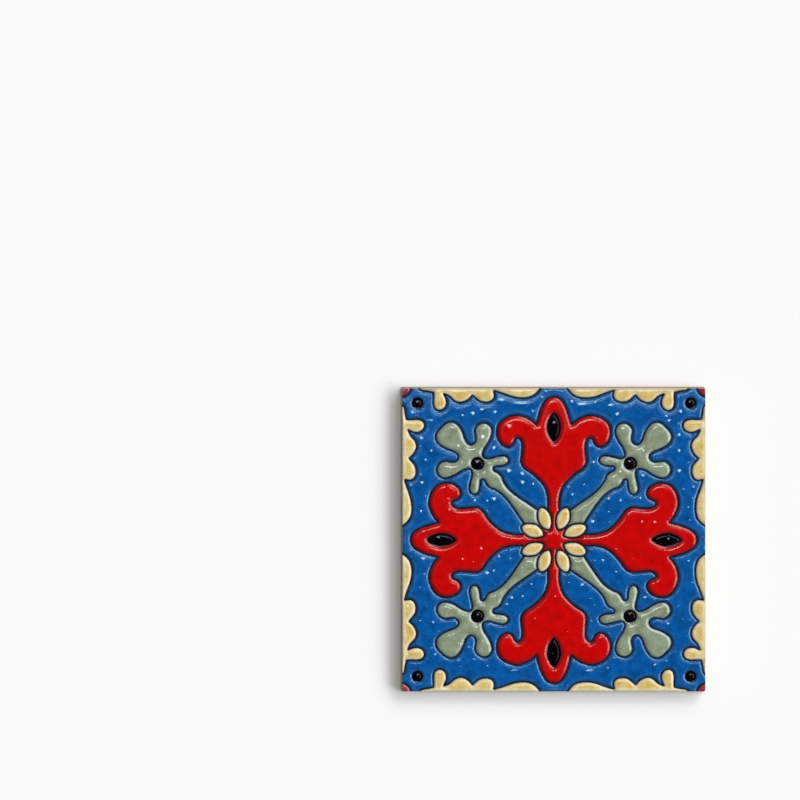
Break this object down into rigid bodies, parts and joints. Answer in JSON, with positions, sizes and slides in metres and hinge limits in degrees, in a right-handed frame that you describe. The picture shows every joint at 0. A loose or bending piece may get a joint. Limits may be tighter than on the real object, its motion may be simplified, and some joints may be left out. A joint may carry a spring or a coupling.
{
  "type": "hand-painted ceramic tile",
  "caption": "Square glazed ceramic tile with raised flower and leaf fields parted by sunk dark lines, laid edge to edge on a wall, stair riser, table or floor as a repeating pattern.",
  "frame": {"origin": "centre of the back face", "axes": "+Z out of the painted face, +X and +Y square to two neighbouring edges, and the pattern is the same on each quarter turn about +Z"},
  "size_m": [0.15, 0.15, 0.0087],
  "materials": {
    "glazed_ceramic": "glossy raised glazes in cobalt blue, red, sage green, honey yellow and black, parted by sunk matt dark lines, with bare cream biscuit on the back and the lower sides"
  },
  "bodies": {
    "root": {"tile": "glazed_ceramic"}
  },
  "joints": []
}
